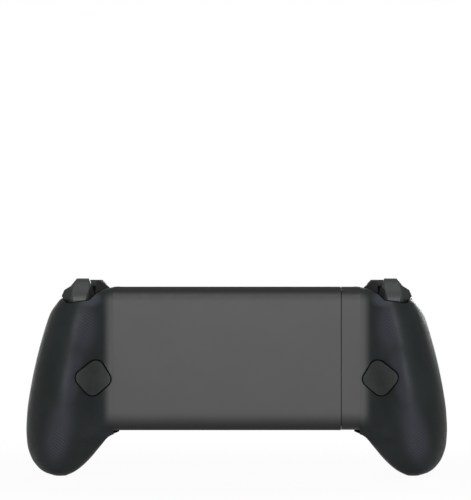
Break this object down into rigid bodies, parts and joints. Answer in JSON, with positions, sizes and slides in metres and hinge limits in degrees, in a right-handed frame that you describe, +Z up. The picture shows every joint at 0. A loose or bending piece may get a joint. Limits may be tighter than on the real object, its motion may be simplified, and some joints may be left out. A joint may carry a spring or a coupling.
{
  "type": "mobile game controller",
  "caption": "Telescopic two-handed game controller with thumbsticks, a D-pad, buttons, bumpers and triggers; its grips slide apart to hold a small tablet.",
  "frame": {"origin": "on the bridge's front plane, midway between the cheeks at rest, level with the grips' bottom", "axes": "+X to the right as seen from the front, +Y out of the back, +Z up; the front faces -Y"},
  "size_m": [0.2274, 0.0526, 0.1058],
  "materials": {
    "face_plastic": "fine satin, dark grey",
    "grip_plastic": "fine-grained charcoal with laser-textured patches",
    "bridge_plastic": "satin mid grey",
    "black_plastic": "matte black",
    "pad_rubber": "soft ribbed black",
    "bowl_plastic": "dark, slightly glossy",
    "cap_rubber": "soft dark grey",
    "pale_metal": "pale polished ring",
    "button_gloss": "glossy black dome",
    "button_satin": "satin near-black",
    "bumper_plastic": "smoky grey, half gloss",
    "trigger_plastic": "satin dark grey with a lighter centre facet",
    "light_ring": "glowing purple",
    "inner_plastic": "plain black",
    "inner_nylon": "plain grey nylon",
    "board_laminate": "green circuit board",
    "battery_wrap": "silver-grey wrapped cell",
    "plain_steel": "plain steel"
  },
  "bodies": {
    "right_half": {"right_front_shell": "face_plastic", "right_rear_shell": "grip_plastic", "right_cheek": "black_plastic", "right_cheek_pad": "pad_rubber", "bridge_sleeve": "bridge_plastic", "bridge_front_plate": "black_plastic", "rest_pads": "pad_rubber", "return_springs": "plain_steel", "right_stick_collar": "bowl_plastic", "right_stick_base": "inner_plastic", "home_light_ring": "light_ring", "right_board": "board_laminate", "right_switches": "inner_plastic", "right_screws": "plain_steel", "right_battery": "battery_wrap", "right_motor": "plain_steel", "charging_socket": "plain_steel", "right_shoulder_pins": "plain_steel"},
    "left_half": {"left_front_shell": "face_plastic", "left_rear_shell": "grip_plastic", "left_cheek": "black_plastic", "left_cheek_pad": "pad_rubber", "slide_tongue": "inner_nylon", "tongue_collar": "bridge_plastic", "left_stick_collar": "bowl_plastic", "left_stick_base": "inner_plastic", "dpad_post": "inner_plastic", "left_board": "board_laminate", "left_switches": "inner_plastic", "left_screws": "plain_steel", "left_battery": "battery_wrap", "left_motor": "plain_steel", "left_shoulder_pins": "plain_steel"},
    "left_cap": {"left_stick_cap": "cap_rubber", "left_stick_ring": "pale_metal"},
    "right_cap": {"right_stick_cap": "cap_rubber"},
    "right_yoke": {"right_stick_yoke": "inner_nylon"},
    "right_rocker": {"right_stick_rocker": "inner_nylon"},
    "right_trigger_body": {"right_trigger": "trigger_plastic"},
    "right_bumper_body": {"right_bumper": "bumper_plastic"},
    "right_back_button_body": {"right_back_button": "grip_plastic"},
    "left_yoke": {"left_stick_yoke": "inner_nylon"},
    "left_rocker": {"left_stick_rocker": "inner_nylon"},
    "left_trigger_body": {"left_trigger": "trigger_plastic"},
    "left_bumper_body": {"left_bumper": "bumper_plastic"},
    "left_back_button_body": {"left_back_button": "grip_plastic"},
    "face_button_1_body": {"face_button_1": "button_gloss"},
    "face_button_2_body": {"face_button_2": "button_gloss"},
    "face_button_3_body": {"face_button_3": "button_gloss"},
    "face_button_4_body": {"face_button_4": "button_gloss"},
    "menu_button_body": {"menu_button": "button_satin"},
    "home_button_body": {"home_button": "button_satin"},
    "view_button_body": {"view_button": "button_satin"},
    "pill_button_inner_body": {"pill_button_inner": "button_satin"},
    "pill_button_outer_body": {"pill_button_outer": "button_satin"},
    "dpad_body": {"dpad": "button_satin"},
    "dpad_pivot_ball_body": {"dpad_pivot_ball": "plain_steel"}
  },
  "joints": [
    {"name": "handle_slide", "type": "slide", "parent": "right_half", "child": "left_half", "axis": [-1, 0, 0], "range_m": [0, 0.093], "stiffness_N_per_m": 40, "springref_m": -0.08, "deforming": ["return_springs"]},
    {"name": "right_trigger_pull", "type": "hinge", "parent": "right_half", "child": "right_trigger_body", "pos_m": [0.0847, 0.0016, 0.09561], "axis": [-1, 0, 0], "range_deg": [0, 16], "stiffness_Nm_per_rad": 0.08, "springref_deg": -34.38},
    {"name": "right_bumper_press", "type": "hinge", "parent": "right_half", "child": "right_bumper_body", "pos_m": [0.0732, -0.009, 0.09604], "axis": [0, 1, 0], "range_deg": [0, 2.2], "stiffness_Nm_per_rad": 0.5, "springref_deg": -5.73},
    {"name": "right_back_press", "type": "slide", "parent": "right_half", "child": "right_back_button_body", "axis": [0, -1, 0], "range_m": [0, 0.0008], "stiffness_N_per_m": 400, "springref_m": -0.0015},
    {"name": "right_stick_pitch", "type": "hinge", "parent": "right_half", "child": "right_yoke", "pos_m": [0.0779, -0.005, 0.04325], "axis": [1, 0, 0], "range_deg": [-14, 14], "stiffness_Nm_per_rad": 0.03},
    {"name": "right_stick_yaw", "type": "hinge", "parent": "right_yoke", "child": "right_rocker", "pos_m": [0.0779, -0.005, 0.04325], "axis": [0, 0, 1], "range_deg": [-14, 14], "stiffness_Nm_per_rad": 0.03},
    {"name": "right_stick_click", "type": "slide", "parent": "right_rocker", "child": "right_cap", "axis": [0, 1, 0], "range_m": [0, 0.0005], "stiffness_N_per_m": 600, "springref_m": -0.0015},
    {"name": "left_trigger_pull", "type": "hinge", "parent": "left_half", "child": "left_trigger_body", "pos_m": [-0.0847, 0.0016, 0.09561], "axis": [-1, 0, 0], "range_deg": [0, 16], "stiffness_Nm_per_rad": 0.08, "springref_deg": -34.38},
    {"name": "left_bumper_press", "type": "hinge", "parent": "left_half", "child": "left_bumper_body", "pos_m": [-0.0732, -0.009, 0.09604], "axis": [0, -1, 0], "range_deg": [0, 2.2], "stiffness_Nm_per_rad": 0.5, "springref_deg": -5.73},
    {"name": "left_back_press", "type": "slide", "parent": "left_half", "child": "left_back_button_body", "axis": [0, -1, 0], "range_m": [0, 0.0008], "stiffness_N_per_m": 400, "springref_m": -0.0015},
    {"name": "left_stick_pitch", "type": "hinge", "parent": "left_half", "child": "left_yoke", "pos_m": [-0.0806, -0.005, 0.07484], "axis": [1, 0, 0], "range_deg": [-14, 14], "stiffness_Nm_per_rad": 0.03},
    {"name": "left_stick_yaw", "type": "hinge", "parent": "left_yoke", "child": "left_rocker", "pos_m": [-0.0806, -0.005, 0.07484], "axis": [0, 0, 1], "range_deg": [-14, 14], "stiffness_Nm_per_rad": 0.03},
    {"name": "left_stick_click", "type": "slide", "parent": "left_rocker", "child": "left_cap", "axis": [0, 1, 0], "range_m": [0, 0.0005], "stiffness_N_per_m": 600, "springref_m": -0.0015},
    {"name": "face_button_1_press", "type": "slide", "parent": "right_half", "child": "face_button_1_body", "axis": [0, 1, 0], "range_m": [0, 0.0008], "stiffness_N_per_m": 300, "springref_m": -0.0015},
    {"name": "face_button_2_press", "type": "slide", "parent": "right_half", "child": "face_button_2_body", "axis": [0, 1, 0], "range_m": [0, 0.0008], "stiffness_N_per_m": 300, "springref_m": -0.0015},
    {"name": "face_button_3_press", "type": "slide", "parent": "right_half", "child": "face_button_3_body", "axis": [0, 1, 0], "range_m": [0, 0.0008], "stiffness_N_per_m": 300, "springref_m": -0.0015},
    {"name": "face_button_4_press", "type": "slide", "parent": "right_half", "child": "face_button_4_body", "axis": [0, 1, 0], "range_m": [0, 0.0008], "stiffness_N_per_m": 300, "springref_m": -0.0015},
    {"name": "menu_press", "type": "slide", "parent": "right_half", "child": "menu_button_body", "axis": [0, 1, 0], "range_m": [0, 0.0008], "stiffness_N_per_m": 300, "springref_m": -0.0015},
    {"name": "home_press", "type": "slide", "parent": "right_half", "child": "home_button_body", "axis": [0, 1, 0], "range_m": [0, 0.0008], "stiffness_N_per_m": 300, "springref_m": -0.0015},
    {"name": "view_press", "type": "slide", "parent": "left_half", "child": "view_button_body", "axis": [0, 1, 0], "range_m": [0, 0.0008], "stiffness_N_per_m": 300, "springref_m": -0.0015},
    {"name": "pill_inner_press", "type": "slide", "parent": "left_half", "child": "pill_button_inner_body", "axis": [0, 1, 0], "range_m": [0, 0.0005], "stiffness_N_per_m": 300, "springref_m": -0.0015},
    {"name": "pill_outer_press", "type": "slide", "parent": "left_half", "child": "pill_button_outer_body", "axis": [0, 1, 0], "range_m": [0, 0.0005], "stiffness_N_per_m": 300, "springref_m": -0.0015},
    {"name": "dpad_pitch", "type": "hinge", "parent": "left_half", "child": "dpad_pivot_ball_body", "pos_m": [-0.0772, -0.0125, 0.04346], "axis": [1, 0, 0], "range_deg": [-4, 4], "stiffness_Nm_per_rad": 0.05},
    {"name": "dpad_yaw", "type": "hinge", "parent": "dpad_pivot_ball_body", "child": "dpad_body", "pos_m": [-0.0772, -0.0125, 0.04346], "axis": [0, 0, 1], "range_deg": [-4, 4], "stiffness_Nm_per_rad": 0.05}
  ]
}
